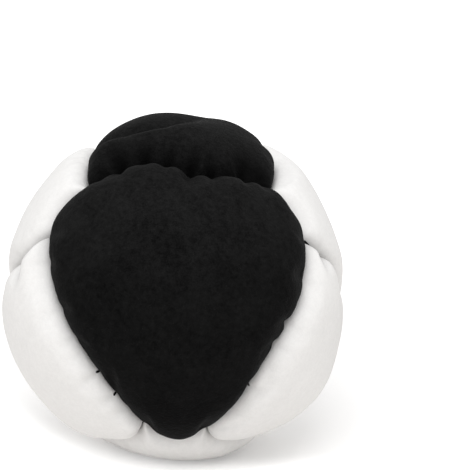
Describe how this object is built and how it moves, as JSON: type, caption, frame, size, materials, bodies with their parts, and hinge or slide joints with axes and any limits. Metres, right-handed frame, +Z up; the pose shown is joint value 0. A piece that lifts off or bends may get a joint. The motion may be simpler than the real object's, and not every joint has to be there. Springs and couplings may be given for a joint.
{
  "type": "soft kick ball",
  "caption": "Small stuffed ball of black and white three-cornered cloth panels, sewn inside out with deep rolled seams, for kicking, juggling and soft indoor play.",
  "frame": {"origin": "middle of the pressed flat under the base panel, on the ground that the ball lies on", "axes": "+Z up through the middle of the top panel, -Y out of the front towards someone facing the front panel, +X to their right"},
  "size_m": [0.0635, 0.064, 0.0635],
  "materials": {
    "black_cloth": "matt short-nap suede cloth, black",
    "white_cloth": "matt short-nap suede cloth, white",
    "sewing_thread": "twisted sewing thread, dark",
    "stuffing_fibre": "loose soft filling, off-white"
  },
  "bodies": {
    "root": {"front_panel": "black_cloth", "top_panel": "black_cloth", "upper_left_panel": "white_cloth", "upper_right_panel": "white_cloth", "lower_left_panel": "white_cloth", "lower_right_panel": "white_cloth", "back_panel": "white_cloth", "base_panel": "white_cloth", "thread_front_top": "sewing_thread", "thread_front_lower_left": "sewing_thread", "thread_front_lower_right": "sewing_thread", "thread_top_upper_left": "sewing_thread", "thread_top_upper_right": "sewing_thread", "thread_upper_left_lower_left": "sewing_thread", "thread_upper_right_lower_right": "sewing_thread", "thread_upper_left_back": "sewing_thread", "thread_upper_right_back": "sewing_thread", "thread_lower_left_base": "sewing_thread", "thread_lower_right_base": "sewing_thread", "thread_back_base": "sewing_thread", "stuffing": "stuffing_fibre"}
  },
  "joints": []
}
